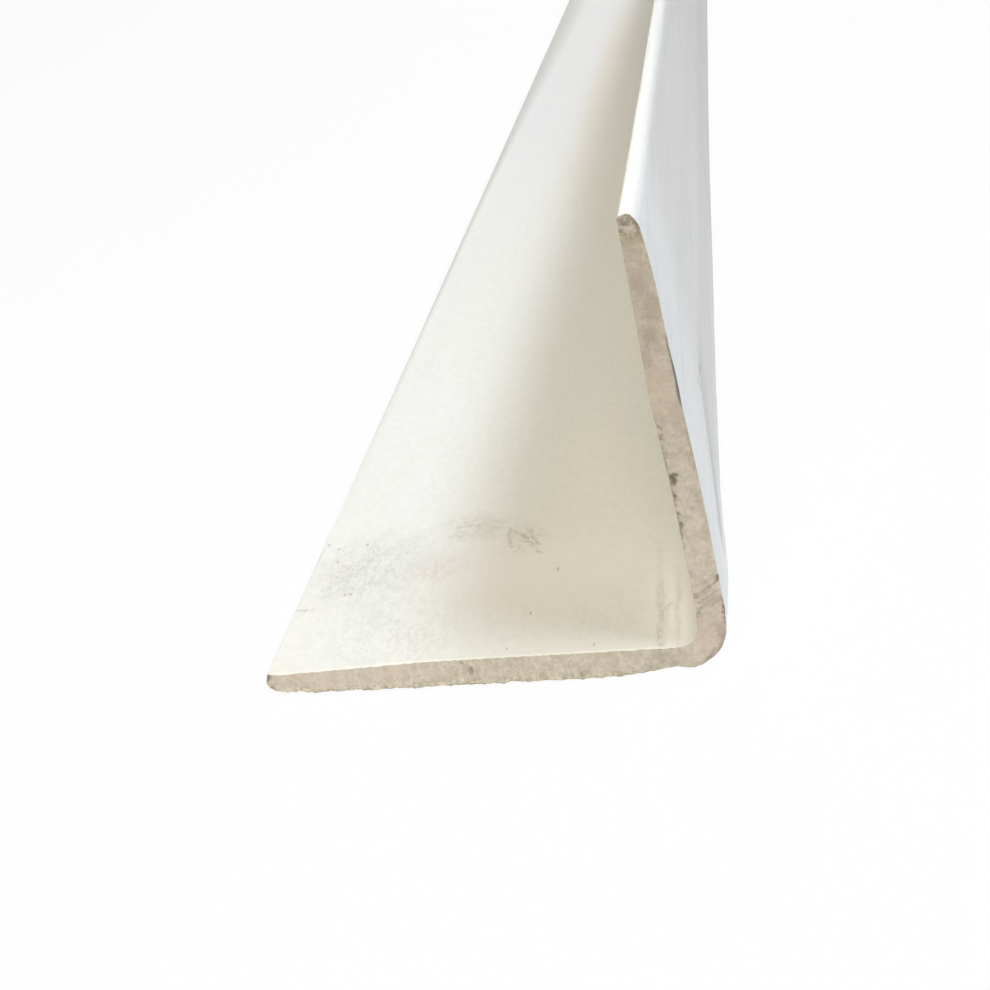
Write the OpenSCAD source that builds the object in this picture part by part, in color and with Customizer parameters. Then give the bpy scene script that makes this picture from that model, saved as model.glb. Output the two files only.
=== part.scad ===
// Equal-leg PVC corner angle, cut from extruded stock.
// It lies on its base leg with the upright leg at +X, and its length runs along Y.
// The origin is the middle of the length, on the floor, midway across the base leg.

/* [Legs] */
// Width of the base leg, outside corner to tip
base_leg = 50; // [40:1:100]
// Height of the upright leg, outside corner to tip
upright_leg = 50; // [40:1:100]
// Length of the cut piece
cut_length = 1000; // [200:50:3000]

/* [Wall] */
// Wall thickness from the corner to where the taper starts
wall = 2.6; // [2.4:0.1:5]
// Wall thickness at the tips, thinned from the inside
tip_wall = 2; // [1.7:0.1:2.4]
// How far from each tip the taper starts
taper_length = 18; // [10:1:25]

/* [Corner] */
// Radius of the outside corner
outer_radius = 5; // [2:0.5:7]
// Radius of the fillet in the inside corner
inner_radius = 3; // [0.5:0.5:4.5]

/* [Leg tips] */
// Radius where an outside face meets its tip
tip_outer_radius = 1.2; // [0.5:0.1:1.3]
// Radius where an inside face meets its tip
tip_inner_radius = 0.3; // [0.1:0.1:0.3]

/* [Hidden] */
pvc_colour = [0.93, 0.92, 0.88];
arc_steps = 64;
taper_angle = atan((wall - tip_wall) / taper_length);
// Room by which each rounding piece reaches past the corner that it works on
overlap = 0.5;

// The piece between a corner at the origin and the arc that rounds it off.
// One edge of the corner runs along X and the other at the given angle from it.
module corner_spandrel(radius, angle = 90) {
    tangent_length = radius / tan(angle / 2);
    centre = [tangent_length, radius];
    second_edge = [cos(angle), sin(angle)];
    second_outward = [-sin(angle), cos(angle)];
    beyond = -overlap / sin(angle / 2) * [cos(angle / 2), sin(angle / 2)];
    difference() {
        polygon([
            [tangent_length, -overlap],
            centre,
            tangent_length * second_edge + overlap * second_outward,
            beyond
        ]);
        translate(centre)
            circle(r = radius, $fn = arc_steps);
    }
}

// One leg along X with square corners, its outside face on the X axis
module square_leg(leg) {
    polygon([
        [0, 0],
        [leg, 0],
        [leg, tip_wall],
        [leg - taper_length, wall],
        [0, wall]
    ]);
}

// The roundings of a leg along X: where its outside and its inside face meet the tip
module tip_roundings(leg) {
    translate([leg, 0])
        mirror([1, 0])
            corner_spandrel(tip_outer_radius);
    translate([leg, tip_wall])
        rotate(180 - taper_angle)
            corner_spandrel(tip_inner_radius, 90 + taper_angle);
}

// One leg along X with its tip rounded
module tipped_leg(leg) {
    difference() {
        square_leg(leg);
        tip_roundings(leg);
    }
}

// The extruded section, the outside corner at the origin and the base leg along X
module angle_section() {
    difference() {
        union() {
            tipped_leg(base_leg);
            mirror([1, -1])
                tipped_leg(upright_leg);
        }
        corner_spandrel(outer_radius);
    }
    translate([wall, wall])
        corner_spandrel(inner_radius);
}

// The section drawn out along Y, with the outside corner at +X
module corner_angle() {
    color(pvc_colour)
        translate([base_leg / 2, cut_length / 2, 0])
            rotate([90, 0, 0])
                linear_extrude(height = cut_length)
                    mirror([1, 0])
                        angle_section();
}

corner_angle();
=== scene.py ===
import math

import bpy
import numpy as np
from mathutils import Euler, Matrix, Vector, noise


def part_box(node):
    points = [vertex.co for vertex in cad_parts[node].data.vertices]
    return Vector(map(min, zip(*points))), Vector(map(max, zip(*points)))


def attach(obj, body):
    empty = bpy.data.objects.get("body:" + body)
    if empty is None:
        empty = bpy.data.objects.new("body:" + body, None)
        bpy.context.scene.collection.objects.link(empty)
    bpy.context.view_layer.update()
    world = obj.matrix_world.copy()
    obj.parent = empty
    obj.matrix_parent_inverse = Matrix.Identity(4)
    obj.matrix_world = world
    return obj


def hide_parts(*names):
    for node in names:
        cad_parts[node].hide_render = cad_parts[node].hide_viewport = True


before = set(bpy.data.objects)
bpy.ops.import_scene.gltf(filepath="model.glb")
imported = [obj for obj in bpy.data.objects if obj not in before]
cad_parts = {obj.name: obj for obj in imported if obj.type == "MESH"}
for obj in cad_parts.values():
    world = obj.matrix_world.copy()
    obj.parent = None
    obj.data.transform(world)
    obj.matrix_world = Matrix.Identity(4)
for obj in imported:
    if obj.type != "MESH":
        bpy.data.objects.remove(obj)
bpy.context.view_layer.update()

NODE = "corner_angle"
MM = 0.001

node_low, node_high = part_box(NODE)

# Section, in metres: t runs along a leg from the outside corner, w through its wall
LEG = node_high.z - node_low.z
CORNER_X = node_high.x
NEAR_Y = node_low.y
LENGTH = node_high.y - node_low.y
WALL = 2.6 * MM
TIP_WALL = 2.0 * MM
TAPER_LENGTH = 18 * MM
OUTER_RADIUS = 5 * MM
INNER_RADIUS = 3.0 * MM
TIP_OUTER_RADIUS = 1.2 * MM
TIP_INNER_RADIUS = 0.3 * MM

# How finely the section and the cut are divided: the even columns of a leg end a little before
# its tip, and the tip's own curve has as many points as a column
WALL_STEPS = 12
LEG_COLUMNS = 140
CORNER_COLUMNS = 22
TIP_OUTER_STEPS = 6
TIP_INNER_STEPS = WALL_STEPS - TIP_OUTER_STEPS - 2
TIP_ROOM = TIP_OUTER_RADIUS * 1.6
SHARP_ANGLE = math.radians(42)

# Stations along the length: those near the cut in mm from it, then even ones up to the far rim
NEAR_STATIONS = (
    0, 0.12, 0.3, 0.6, 1, 1.5, 2.2, 3, 4, 5.5, 7.5, 10, 13, 17, 22, 28, 35, 43, 52, 62, 73, 85, 98, 112
)
EVEN_STATIONS = 45
FAR_RIM = 1 * MM

# The attribute that keeps each point's place in the straight stock, in mm, its y from the cut.
# The materials read it, so that their marks stay where they are on the section.
REST = "rest_mm"

# Small bends of the stock: the upright leans in, the base tip lifts and the whole section is
# swept sideways, most at the sawn end
LEAN = math.radians(0.7)
LEAN_AT_CUT = math.radians(1.2)
LIFT = math.radians(0.1)
LIFT_AT_CUT = math.radians(0.13)
BEND_FADE = 70 * MM
SIDE_SWEEP = 0.1 * MM
SIDE_STEP_AT_CUT = 0.14 * MM

# The upright's outside face at the cut swells at the corner and thins towards the tip
SWELL_AT_CORNER = 0.15 * MM
THIN_AT_TIP = 0.27 * MM
THIN_GROWTH = 1.6
SWELL_FROM = OUTER_RADIUS / 2
SWELL_FADE = 120 * MM

# The upright bows out a little below the middle of its height there, and its fillet is fuller
BOW = 0.13 * MM
BOW_HEIGHT = 21 * MM
BOW_REACH = 11 * MM
FULLER = 0.22 * MM
FULLER_HEIGHT = 5.2 * MM
FULLER_REACH = 2.4 * MM
FULLER_FADE = 5 * MM

# The outside faces roll in a little before the tips, along the whole length
TIP_ROLL = 0.42 * MM
TIP_ROLL_LENGTH = 7 * MM

# The outside corner is worn at the cut, and bulges a little just behind it
WEAR = 0.26 * MM
WEAR_HEIGHT = 4 * MM
WEAR_REACH = 3.4 * MM
WEAR_FADE = 5 * MM
BULGE = 0.27 * MM
BULGE_HEIGHT = 6 * MM
BULGE_RISE = 4 * MM
BULGE_AT = 7.5 * MM
BULGE_REACH = 5 * MM

# The outside corner wanders: in a little near the cut, and outward further along
DIP = 0.27 * MM
DIP_FROM = 12 * MM
DIP_FULL = 22 * MM
DIP_EASES = 45 * MM
DIP_TO = 90 * MM
WANDER = 2.4 * MM
WANDER_FROM = 70 * MM
WANDER_TO = 670 * MM

# The saw ran a little askew across the section
SKEW_ACROSS = math.radians(0.73)
SKEW_UP = math.radians(-0.84)
SKEW_FADE = 200 * MM

# The torn lip that the saw left under the base leg, forward of the cut
LIP_REACH = 0.95 * MM
LIP_START_T = 5.8 * MM
LIP_FULL_T = 11.5 * MM
LIP_RAGGED = 0.2 * MM
CORNER_LIP = 0.36 * MM
CORNER_LIP_T = 3.7 * MM
CORNER_LIP_SPREAD = 1.3 * MM

# The map that an export bakes the colours to: the first part of the length is drawn large
NEAR_PART = 250 * MM
NEAR_SCALE = 3.4
NEAR_AT = (0.01, 0.01)
FAR_SCALE = 1.26
FAR_AT = (0.715, 0.01)
NEAR_END_SCALE = 13.2
NEAR_END_AT = (0.01, 0.885)
NEAR_END_RISE = 0.055
CORNER_WAY = 48 * MM
FAR_END_SCALE = 2.4
FAR_END_AT = (0.72, 0.975)
FAR_END_DEPTH = 0.010

# Relief of the sawn ends. Frequencies are per mm; a fractal is its roughness, the step from one
# octave to the next and their number. The saw marks run across the way given in x and z.
SAW_ROUGHNESS = 0.05 * MM
ROUGH_FREQUENCY = 1.6
ROUGH_FRACTAL = (0.7, 2.1, 4)
SAW_MARK_DEPTH = 0.035 * MM
SAW_MARK_PITCH = 0.75 * MM
SAW_MARK_WAY = (0.55, -0.85)
SAW_WOBBLE = 1.4
SAW_WOBBLE_FREQUENCY = 0.5
TEAR_FREQUENCY = (0.75, 0.5)
TEAR_FRACTAL = (0.6, 2.3, 5)
TEAR_SEED = 3.7
FAR_ROUGH_FREQUENCY = 1.3
FAR_SEED = 40.0
RELIEF_FADE = 8 * MM

# Chips in the sawn face, in mm: x and z of the middle, reach along x and z, and depth
CHIPS = [
    ((22.6, 23.6), (0.65, 0.9), 0.45),
    ((22.5, 21.6), (0.34, 0.4), 0.35),
    ((22.5, 19.5), (0.3, 0.4), 0.35),
    ((22.5, 18.3), (0.34, 0.45), 0.4),
    ((22.5, 29.3), (0.4, 0.5), 0.3),
    ((25.1, 34.0), (0.45, 3.4), 0.5),
    ((24.9, 11.5), (0.55, 0.55), 0.4),
    ((-25.0, 1.9), (0.5, 0.45), 0.4),
    ((24.0, 49.9), (0.9, 0.5), 0.3),
    ((-2.0, 1.3), (0.45, 0.6), 0.3),
]


def clamp(value):
    """The value held between 0 and 1"""
    return min(max(value, 0.0), 1.0)


def smooth_step(low, high, value):
    """0 below low, 1 above high and a smooth rise between"""
    share = clamp((value - low) / (high - low))
    return share * share * (3 - 2 * share)


def hump(value, middle, reach):
    """1 at the middle, falling in a parabola to 0 at the reach on either side"""
    return max(1 - ((value - middle) / reach) ** 2, 0.0)


def fade(y, length):
    """1 at the sawn end, dying away along the stock"""
    return math.exp(-max(y, 0.0) / length)


def wall_at(t):
    """Wall thickness at the distance t from the outside corner"""
    into_taper = max(t - (LEG - TAPER_LENGTH), 0.0)
    return WALL - (WALL - TIP_WALL) * into_taper / TAPER_LENGTH


def leg_point(t, w, upright):
    """A point of the section in X and Z: both legs are the same, mirrored about the corner"""
    into_roll = max(t - (LEG - TIP_ROLL_LENGTH), 0.0) / TIP_ROLL_LENGTH
    w += TIP_ROLL * into_roll ** 2 * max(1 - w / wall_at(t), 0.0)
    if upright:
        return (CORNER_X - w, node_low.z + t)
    return (CORNER_X - t, node_low.z + w)


def arc(centre, radius, first, last, steps):
    """Points of an arc in t and w, its angles in degrees"""
    angles = np.radians(np.linspace(first, last, steps + 1))
    return [(centre[0] + radius * math.cos(a), centre[1] + radius * math.sin(a)) for a in angles]


def tip_curve():
    """The tip of a leg in t and w, from its outside face round to its inside face"""
    outer_arc = arc((LEG - TIP_OUTER_RADIUS, TIP_OUTER_RADIUS), TIP_OUTER_RADIUS, -90, 0, TIP_OUTER_STEPS)
    inner_centre = (LEG - TIP_INNER_RADIUS, TIP_WALL - TIP_INNER_RADIUS)
    inner_arc = arc(inner_centre, TIP_INNER_RADIUS, 0, 90, TIP_INNER_STEPS)
    middle = (LEG, (outer_arc[-1][1] + inner_arc[0][1]) / 2)
    return outer_arc + [middle] + inner_arc


def leg_columns(upright):
    """Columns of points through the wall, from beside the corner to the tip"""
    first = WALL + INNER_RADIUS
    last = LEG - TIP_ROOM
    columns = []
    for t in np.linspace(first, last, LEG_COLUMNS):
        thickness = wall_at(t)
        columns.append([leg_point(t, thickness * k / WALL_STEPS, upright) for k in range(WALL_STEPS + 1)])
    columns.append([leg_point(t, w, upright) for t, w in tip_curve()])
    return columns


def corner_columns():
    """Columns through the wall round the corner, between the two legs"""
    reach = WALL + INNER_RADIUS
    inner_centre = Vector((CORNER_X - reach, node_low.z + reach))
    outer_centre = Vector((CORNER_X - OUTER_RADIUS, node_low.z + OUTER_RADIUS))
    flat = reach - OUTER_RADIUS
    half_arc = OUTER_RADIUS * math.pi / 4
    columns = []
    for step in range(1, CORNER_COLUMNS):
        angle = math.pi / 2 * step / CORNER_COLUMNS
        inner = inner_centre + INNER_RADIUS * Vector((math.sin(angle), -math.cos(angle)))
        # The outside is flat for a little way before its arc starts
        way = (flat + half_arc) * 2 * step / CORNER_COLUMNS
        if way < flat:
            outer = Vector((inner_centre.x + way, node_low.z))
        elif way > flat + 2 * half_arc:
            outer = Vector((CORNER_X, outer_centre.y + way - flat - 2 * half_arc))
        else:
            turn = (way - flat) / OUTER_RADIUS
            outer = outer_centre + OUTER_RADIUS * Vector((math.sin(turn), -math.cos(turn)))
        columns.append([tuple(outer.lerp(inner, k / WALL_STEPS)) for k in range(WALL_STEPS + 1)])
    return columns


def section_grid():
    """All columns from the base tip round the corner to the upright tip: column, wall step, X and Z"""
    base = leg_columns(False)
    upright = leg_columns(True)
    return np.array(base[::-1] + corner_columns() + upright)


def length_stations():
    """Distances from the cut, close together near it"""
    near = [value * MM for value in NEAR_STATIONS]
    even = np.linspace(near[-1], LENGTH - FAR_RIM, EVEN_STATIONS + 1)[1:]
    return near + list(even) + [LENGTH]


def lip_share(x, z):
    """How much of the torn lip there is here: none at the corner, most at the foot of the cut"""
    t = CORNER_X - x
    return clamp((t - LIP_START_T) / (LIP_FULL_T - LIP_START_T)) * foot_share(z)


def foot_share(z):
    """1 at the underside, falling to 0 at the inside face of the base leg"""
    return 1 - clamp((z - node_low.z) / WALL)


def cut_relief(x, z):
    """How far the sawn face stands behind (+) or in front of (-) a flat cut"""
    place = Vector((x / MM, 0.0, z / MM))
    rough = noise.fractal(place * ROUGH_FREQUENCY, *ROUGH_FRACTAL) * SAW_ROUGHNESS
    across_marks = (x * SAW_MARK_WAY[0] + z * SAW_MARK_WAY[1]) / SAW_MARK_PITCH
    wobble = noise.noise(place * SAW_WOBBLE_FREQUENCY) * SAW_WOBBLE
    marks = math.sin(2 * math.pi * (across_marks + wobble)) * SAW_MARK_DEPTH
    tear_place = Vector((x / MM * TEAR_FREQUENCY[0], TEAR_SEED, z / MM * TEAR_FREQUENCY[1]))
    torn = noise.fractal(tear_place, *TEAR_FRACTAL)
    lip = -lip_share(x, z) * (LIP_REACH + LIP_RAGGED * torn)
    from_tongue = (CORNER_X - x - CORNER_LIP_T) / CORNER_LIP_SPREAD
    tongue = -CORNER_LIP * math.exp(-from_tongue ** 2) * foot_share(z)
    return rough + marks + lip + tongue + chip_depth(x, z)


def chip_depth(x, z):
    """How deep the chips in the sawn face are here"""
    depth = 0.0
    for centre, reach, full_depth in CHIPS:
        away = math.hypot((x / MM - centre[0]) / reach[0], (z / MM - centre[1]) / reach[1])
        depth = max(depth, full_depth * MM * (1 - smooth_step(0.3, 1.0, away)))
    return depth


def end_relief(x, z):
    """The far end, which is cut plainly: only faint roughness"""
    place = Vector((x / MM, FAR_SEED, z / MM))
    return noise.fractal(place * FAR_ROUGH_FREQUENCY, *ROUGH_FRACTAL) * SAW_ROUGHNESS


def side_sweep(y):
    """How far the whole section is swept sideways"""
    half_turn = math.pi * min(y / (LENGTH / 2), 1)
    return SIDE_STEP_AT_CUT * fade(y, BEND_FADE) + SIDE_SWEEP * math.sin(half_turn) ** 2


def upright_shift(y, up, through):
    """How far a face of the upright is out of true; through is 0 on the outside, 1 on the inside"""
    rise = clamp((up - OUTER_RADIUS) / (LEG - OUTER_RADIUS))
    swell = SWELL_AT_CORNER - THIN_AT_TIP * rise ** THIN_GROWTH
    swell *= fade(y, SWELL_FADE) * smooth_step(SWELL_FROM, OUTER_RADIUS, up)
    worn = WEAR * hump(up, WEAR_HEIGHT, WEAR_REACH) * fade(y, WEAR_FADE)
    from_bulge = math.hypot((up - BULGE_HEIGHT) / BULGE_RISE, (y - BULGE_AT) / BULGE_REACH)
    bulge = BULGE * math.exp(-from_bulge ** 2)
    bow = BOW * hump(up, BOW_HEIGHT, BOW_REACH) * fade(y, SWELL_FADE)
    fuller = FULLER * hump(up, FULLER_HEIGHT, FULLER_REACH) * fade(y, FULLER_FADE)
    return (swell - worn + bulge) * (1 - through) + bow - fuller * through


def corner_wander(y, up, across):
    """How far the outside corner wanders outward, less towards either tip"""
    dip = DIP * smooth_step(DIP_FROM, DIP_FULL, y) * (1 - smooth_step(DIP_EASES, DIP_TO, y))
    way = clamp((y - WANDER_FROM) / (WANDER_TO - WANDER_FROM))
    at_corner = clamp(1 + across / LEG) * clamp(1 - up / LEG)
    return (WANDER * math.sin(math.pi * way) ** 2 - dip) * at_corner


def bent(x, y, z):
    """Where a point of the straight stock lies once it is bent a little; y runs from the cut"""
    across = x - CORNER_X
    up = z - node_low.z
    lean = LEAN + LEAN_AT_CUT * fade(y, BEND_FADE)
    lift = LIFT + LIFT_AT_CUT * fade(y, BEND_FADE)
    shift = side_sweep(y) + upright_shift(y, up, clamp(-across / WALL)) + corner_wander(y, up, across)
    skew = (SKEW_ACROSS * across + SKEW_UP * up) * fade(y, SKEW_FADE)
    return (
        x - up * math.tan(lean) + shift,
        y + skew,
        z + max(-WALL - across, 0.0) * math.tan(lift),
    )


def outline_steps(grid, ring):
    """How far round the section's outline each of its points is, and the whole way round, in metres"""
    places = np.array([grid[c, k] for c, k in ring])
    steps = np.linalg.norm(np.roll(places, -1, axis=0) - places, axis=1)
    return np.concatenate([[0.0], np.cumsum(steps)])


def column_steps(grid):
    """How far along the middle of the wall each column of the section is, in metres"""
    middle = grid[:, WALL_STEPS // 2]
    return np.concatenate([[0.0], np.cumsum(np.linalg.norm(np.diff(middle, axis=0), axis=1))])


def wall_place(way_round, y, near):
    """Where a point of the walls lies in the map: the near part is drawn larger than the rest"""
    if near:
        return (NEAR_AT[0] + way_round * NEAR_SCALE, NEAR_AT[1] + y * NEAR_SCALE)
    return (FAR_AT[0] + way_round * FAR_SCALE, FAR_AT[1] + (y - NEAR_PART) * FAR_SCALE)


def end_place(way_along, share_through, half, near):
    """Where a point of an end lies in the map: the near one as two strips, the far one as one"""
    if not near:
        return (FAR_END_AT[0] + way_along * FAR_END_SCALE, FAR_END_AT[1] + share_through * FAR_END_DEPTH)
    start = half * CORNER_WAY
    across = NEAR_END_AT[0] + (way_along - start) * NEAR_END_SCALE
    return (across, NEAR_END_AT[1] + half * NEAR_END_RISE + share_through * WALL * NEAR_END_SCALE)


def section_ring(last_column, last_step):
    """The outline of the section, once round: outside faces, upright tip, inside faces, base tip"""
    ring = [(c, 0) for c in range(last_column + 1)]
    ring += [(last_column, k) for k in range(1, last_step + 1)]
    ring += [(c, last_step) for c in range(last_column - 1, -1, -1)]
    ring += [(0, k) for k in range(last_step - 1, 0, -1)]
    return ring


def add_walls(straight, faces, grid, ring, near_relief, far_relief):
    """The walls, swept along the stations; gives the numbers of their points at each station"""
    stations = length_stations()
    rows = []
    for y in stations:
        near_fade = max(1 - y / RELIEF_FADE, 0.0) ** 2
        far_fade = max(1 - (LENGTH - y) / RELIEF_FADE, 0.0) ** 2
        rows.append(range(len(straight), len(straight) + len(ring)))
        for c, k in ring:
            x, z = grid[c, k]
            shifted = y + near_relief[c, k] * near_fade - far_relief[c, k] * far_fade
            straight.append((x, shifted, z))
    way = outline_steps(grid, ring)
    for i in range(len(stations) - 1):
        near = stations[i + 1] <= NEAR_PART
        for j in range(len(ring)):
            n = (j + 1) % len(ring)
            corners = (rows[i][j], rows[i + 1][j], rows[i + 1][n], rows[i][n])
            places = ((j, i), (j, i + 1), (j + 1, i + 1), (j + 1, i))
            faces.append((corners, 0, [wall_place(way[a], stations[b], near) for a, b in places]))
    return rows


def add_end(straight, faces, grid, rim, relief, near):
    """The grid over one sawn end; rim holds the numbers of the wall points round it"""
    last_column = grid.shape[0] - 1
    last_step = grid.shape[1] - 1
    index = dict(rim)
    for c in range(1, last_column):
        for k in range(1, last_step):
            x, z = grid[c, k]
            index[(c, k)] = len(straight)
            straight.append((x, relief[c, k] if near else LENGTH - relief[c, k], z))
    along = column_steps(grid)
    for c in range(last_column):
        half = 1 if along[c] >= CORNER_WAY else 0
        for k in range(last_step):
            places = [(c, k), (c + 1, k), (c + 1, k + 1), (c, k + 1)]
            if not near:
                places.reverse()
            corners = tuple(index[place] for place in places)
            faces.append((corners, 1, [end_place(along[a], b / last_step, half, near) for a, b in places]))


def build_mesh():
    """The whole stick: the walls swept along the stations, and a grid over each sawn end"""
    grid = section_grid()
    near_relief = np.array([[cut_relief(*point) for point in column] for column in grid])
    far_relief = np.array([[end_relief(*point) for point in column] for column in grid])
    ring = section_ring(grid.shape[0] - 1, grid.shape[1] - 1)
    straight = []
    faces = []
    rows = add_walls(straight, faces, grid, ring, near_relief, far_relief)
    add_end(straight, faces, grid, zip(ring, rows[0]), near_relief, True)
    add_end(straight, faces, grid, zip(ring, rows[-1]), far_relief, False)
    corners, slots, map_places = zip(*faces)

    mesh = bpy.data.meshes.new("pvc_corner_angle")
    placed = [(x, NEAR_Y + y, z) for x, y, z in (bent(*place) for place in straight)]
    mesh.from_pydata(placed, [], corners)
    mesh.polygons.foreach_set("material_index", slots)
    mesh.polygons.foreach_set("use_smooth", [True] * len(faces))
    mesh.update()
    mesh.set_sharp_from_angle(angle=SHARP_ANGLE)
    bake_map = mesh.uv_layers.new(name="OFBake")
    bake_map.data.foreach_set("uv", np.array(map_places).ravel())
    rest = mesh.attributes.new(REST, "FLOAT_VECTOR", "POINT")
    rest.data.foreach_set("vector", (np.array(straight) / MM).ravel())
    return mesh


class Graph:
    """A material's node tree, with short calls for the nodes that the materials here need"""

    def __init__(self, name):
        self.material = bpy.data.materials.new(name)
        self.material.use_nodes = True
        self.tree = self.material.node_tree
        self.shader = self.tree.nodes["Principled BSDF"]
        place = self.new("Attribute")
        place.attribute_name = REST
        self.place = place.outputs["Vector"]
        axes = self.new("SeparateXYZ")
        self.tree.links.new(self.place, axes.inputs[0])
        self.x, self.y, self.z = axes.outputs

    def new(self, kind):
        return self.tree.nodes.new("ShaderNode" + kind)

    def put(self, socket, value):
        """Join another node's output to the socket, or set its value"""
        if isinstance(value, bpy.types.NodeSocket):
            self.tree.links.new(value, socket)
        else:
            socket.default_value = value

    def operate(self, kind, operation, first, second):
        """A node that works on two values or two vectors"""
        node = self.new(kind)
        node.operation = operation
        self.put(node.inputs[0], first)
        self.put(node.inputs[1], second)
        return node.outputs

    def math(self, operation, first, second):
        return self.operate("Math", operation, first, second)[0]

    def vector(self, operation, first, second=(0, 0, 0)):
        outputs = self.operate("VectorMath", operation, first, second)
        return outputs["Value" if operation in ("LENGTH", "DOT_PRODUCT") else "Vector"]

    def plain_noise(self, place, detail=2.0, roughness=0.5, scale=1.0):
        """Noise from about 0.3 to 0.7, as a value and as a colour"""
        node = self.new("TexNoise")
        self.put(node.inputs["Vector"], place)
        node.inputs["Scale"].default_value = scale
        node.inputs["Detail"].default_value = detail
        node.inputs["Roughness"].default_value = roughness
        return node.outputs["Fac"], node.outputs["Color"]

    def noise(self, grain, detail, roughness=0.55, offset=(0, 0, 0)):
        """Noise over the straight stock; grain is its size in mm along x, y and z"""
        stretched = self.vector("DIVIDE", self.vector("ADD", self.place, offset), grain)
        return self.plain_noise(stretched, detail, roughness)[0]

    def patchy(self, name, strength=1.0):
        """Patches that the noise of this name makes, so strong inside them and 0 between"""
        span, *settings = PATCHY[name]
        return self.both(self.rise(self.noise(*settings), *span), strength)

    def rise(self, value, low, high):
        """0 below low, 1 above high, or the other way round where low is the greater"""
        node = self.new("MapRange")
        node.interpolation_type = "SMOOTHSTEP"
        self.put(node.inputs["Value"], value)
        node.inputs["From Min"].default_value = min(low, high)
        node.inputs["From Max"].default_value = max(low, high)
        node.inputs["To Min"].default_value = 0.0 if low < high else 1.0
        node.inputs["To Max"].default_value = 1.0 if low < high else 0.0
        return node.outputs["Result"]

    def both(self, *shares):
        """The product of several shares"""
        result = shares[0]
        for share in shares[1:]:
            result = self.math("MULTIPLY", result, share)
        return result

    def blob(self, centre, reach, edge=0.6, place=None):
        """1 inside an ellipsoid of the straight stock, falling to 0 at its skin"""
        offset = self.vector("DIVIDE", self.vector("SUBTRACT", place or self.place, centre), reach)
        return self.rise(self.vector("LENGTH", offset), 1, 1 - edge)

    def flat_place(self, wander, axes, scale=0.9):
        """The place along two axes only, made to wander a little, for hand-made marks"""
        colour = self.plain_noise(self.place, scale=scale)[1]
        shift = self.vector("SUBTRACT", colour, (0.5, 0.5, 0.5))
        moved = self.vector("ADD", self.place, self.vector("MULTIPLY", shift, (wander, wander, wander)))
        return self.vector("MULTIPLY", moved, axes)

    def stroke(self, place, first, last, width):
        """1 on the line between two points, 0 beyond its width"""
        way = Vector(last) - Vector(first)
        from_first = self.vector("SUBTRACT", place, first)
        along = self.vector("DOT_PRODUCT", from_first, tuple(way / way.length_squared))
        held = self.math("MINIMUM", self.math("MAXIMUM", along, 0.0), 1.0)
        across = self.vector("SUBTRACT", from_first, self.vector("MULTIPLY", tuple(way), held))
        return self.rise(self.vector("LENGTH", across), width, width * 0.3)

    def within(self, **spans):
        """A rise along each axis named, from low to full, or from four values a rise and a fall"""
        shares = []
        for name, span in spans.items():
            axis = {"x": self.x, "y": self.y, "z": self.z}[name]
            shares.append(self.rise(axis, *span[:2]))
            if len(span) == 4:
                shares.append(self.rise(axis, span[3], span[2]))
        return self.both(*shares) if shares else 1.0

    def mix(self, share, first, second):
        """The first colour where the share is 0, the second where it is 1"""
        node = self.new("Mix")
        node.data_type = "RGBA"
        factor = next(i for i in node.inputs if i.identifier == "Factor_Float")
        sides = [next(i for i in node.inputs if i.identifier == name) for name in ("A_Color", "B_Color")]
        self.put(factor, share)
        for side, value in zip(sides, (first, second)):
            self.put(side, value if isinstance(value, bpy.types.NodeSocket) else (*value, 1))
        return next(o for o in node.outputs if o.identifier == "Result_Color")

    def lay(self, colour, spans, tone, *shares):
        """A tone laid over the colour, within the spans and as strong as the shares say"""
        return self.mix(self.both(self.within(**spans), *shares), colour, tone)

    def bump(self, *layers):
        """A normal from several heights, each with its depth in mm"""
        normal = None
        for height, depth in layers:
            node = self.new("Bump")
            node.inputs["Strength"].default_value = 1.0
            node.inputs["Distance"].default_value = depth * MM
            self.put(node.inputs["Height"], height)
            if normal:
                self.tree.links.new(normal, node.inputs["Normal"])
            normal = node.outputs["Normal"]
        return normal


# Patches made by noise: from where to where they rise, the grain in mm along x, y and z, the
# detail, the roughness and the offset
PATCHY = {
    "clouds": ((0.35, 0.65), (14, 60, 14), 3, 0.55),
    "mottle": ((0.43, 0.59), (0.9, 1.1, 0.9), 4, 0.75),
    "ragged": ((0.36, 0.58), (0.45, 0.45, 9), 3, 0.7),
    "level_streaks": ((0.5, 0.74), (9, 80, 4), 2, 0.55),
    "speckle": ((0.44, 0.6), (9, 4, 0.55), 4, 0.75, (1, 2, 0)),
    "cut_clouds": ((0.38, 0.62), (2.6, 9, 2.6), 3, 0.55),
    "cut_shade": ((0.42, 0.62), (0.65, 9, 0.65), 3, 0.7),
    "cut_patch": ((0.46, 0.6), (1.2, 9, 1.6), 2, 0.6, (7, 0, 3)),
    "cut_pale": ((0.5, 0.66), (0.9, 9, 0.9), 2, 0.6, (1, 0, 8)),
    "cut_fleck": ((0.6, 0.68), (0.4, 9, 0.4), 2, 0.6, (3, 0, 5)),
    "cut_moss": ((0.49, 0.6), (0.75, 9, 0.55), 3, 0.7, (6, 0, 2)),
    "cut_tip": ((0.47, 0.56), (0.65, 9, 0.65), 2, 0.7, (5, 0, 1)),
    "cut_fuzz": ((0.4, 0.62), (0.32, 9, 0.32), 2, 0.6, (0, 0, 9)),
    "line_gaps": ((0.42, 0.56), (9, 9, 1.1), 3, 0.7, (0, 0, 6)),
    "fringe_breaks": ((0.42, 0.56), (1.6, 9, 9), 3, 0.7, (4, 0, 2)),
}

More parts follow.
